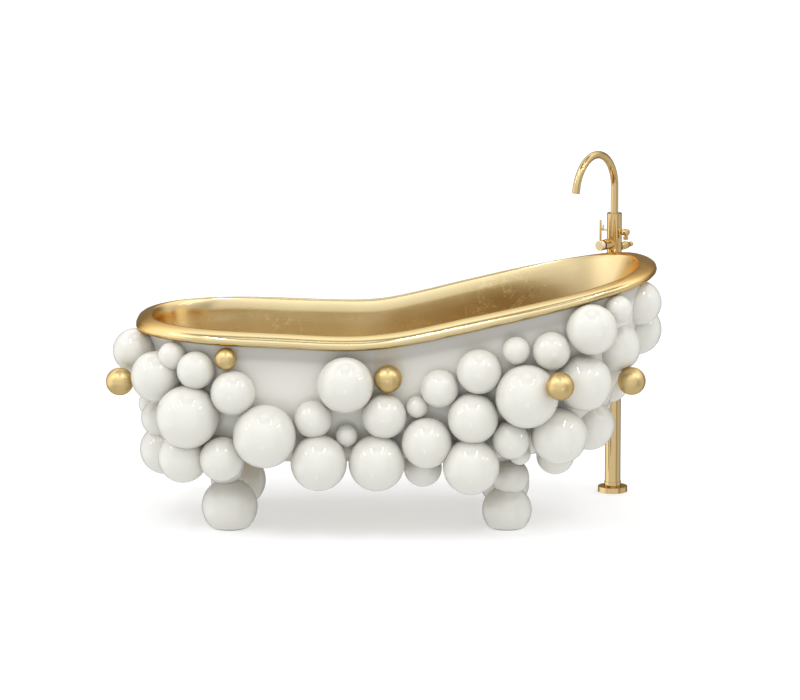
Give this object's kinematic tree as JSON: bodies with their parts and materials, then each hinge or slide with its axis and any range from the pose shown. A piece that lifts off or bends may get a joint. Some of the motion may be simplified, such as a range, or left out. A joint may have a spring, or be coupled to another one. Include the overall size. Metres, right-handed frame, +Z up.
{
  "type": "freestanding bathtub",
  "caption": "Freestanding slipper bathtub with a gold basin and rolled rim, clad in white and gold balls on ball feet, with a floor-standing swan-neck bath filler.",
  "frame": {"origin": "on the floor, under the middle of the box round the bath and its filler", "axes": "+X along the bath towards its raised end, +Y towards the side where the filler stands, +Z up"},
  "size_m": [1.8153, 1.0229, 1.171],
  "materials": {
    "white_lacquer": "gloss",
    "white_shell": "satin gloss",
    "gold_leaf": "leafed",
    "gold_rim": "polished",
    "gold_balls": "leafed",
    "filler_gold": "polished",
    "waste_brass": "polished",
    "copper_tube": "plain",
    "frame_steel": "satin",
    "plain_steel": "plain",
    "black_rubber": "matt",
    "plain_plastic": "matt"
  },
  "bodies": {
    "bath": {"cold_supply_tube": "copper_tube", "diverter_bonnet": "filler_gold", "foot_ball_back_high": "white_lacquer", "foot_ball_back_low": "white_lacquer", "foot_ball_front_high": "white_lacquer", "foot_ball_front_low": "white_lacquer", "foot_pads": "black_rubber", "gold_balls_72mm": "gold_balls", "gold_balls_91mm": "gold_balls", "handset_hook": "filler_gold", "hose_nipple": "filler_gold", "hose_outlet": "filler_gold", "hot_supply_tube": "copper_tube", "inner_basin": "gold_leaf", "leg_ball_back_high": "white_lacquer", "leg_ball_back_low": "white_lacquer", "leg_ball_front_high": "white_lacquer", "leg_ball_front_low": "white_lacquer", "leg_bolt_nuts": "plain_steel", "leg_bolts": "plain_steel", "mixer_cartridge": "plain_plastic", "mixer_housing": "filler_gold", "mixer_nut": "filler_gold", "outer_skirt": "white_shell", "rim_roll": "gold_rim", "skirt_collar": "white_shell", "spout_bush": "plain_plastic", "spout_seal": "black_rubber", "support_frame": "frame_steel", "tap_base_collar": "filler_gold", "tap_base_flange": "filler_gold", "tap_body": "filler_gold", "tap_column": "filler_gold", "tap_floor_plate": "plain_steel", "tap_grub_screws": "plain_steel", "waste_body": "waste_brass", "waste_elbow": "waste_brass", "waste_flange": "waste_brass", "waste_gasket": "black_rubber", "waste_nut": "waste_brass", "waste_tail_pipe": "waste_brass", "white_balls_124mm": "white_lacquer", "white_balls_146mm": "white_lacquer", "white_balls_165mm": "white_lacquer", "white_balls_183mm": "white_lacquer", "white_balls_206mm": "white_lacquer", "white_balls_72mm": "white_lacquer", "white_balls_91mm": "white_lacquer"},
    "spout": {"spout": "filler_gold", "aerator_housing": "filler_gold", "aerator_insert": "plain_plastic"},
    "mixer_yoke": {"mixer_yoke": "plain_steel", "mixer_tilt_pin": "plain_steel"},
    "mixer_cap": {"mixer_cap": "filler_gold", "lever_pin": "filler_gold"},
    "diverter": {"diverter_knob": "filler_gold", "diverter_spindle": "plain_steel"},
    "waste_plug": {"waste_plug": "waste_brass"}
  },
  "joints": [
    {"name": "spout_swivel", "type": "hinge", "parent": "bath", "child": "spout", "pos_m": [0.76404, 0.35964, 0.9465], "axis": [0, 0, 1], "range_deg": [-60, 60]},
    {"name": "mixer_turn", "type": "hinge", "parent": "bath", "child": "mixer_yoke", "pos_m": [0.74038, 0.3299, 0.847], "axis": [-0.6225, -0.7826, 0], "range_deg": [-45, 45]},
    {"name": "lever_tilt", "type": "hinge", "parent": "mixer_yoke", "child": "mixer_cap", "pos_m": [0.7242, 0.30955, 0.847], "axis": [0.7826, -0.6225, 0], "range_deg": [0, 15]},
    {"name": "diverter_turn", "type": "hinge", "parent": "bath", "child": "diverter", "pos_m": [0.78458, 0.38547, 0.829], "axis": [-0.6225, -0.7826, 0], "range_deg": [0, 90]},
    {"name": "plug_lift", "type": "slide", "parent": "bath", "child": "waste_plug", "axis": [0, 0, 1], "range_m": [0, 0.008]}
  ]
}
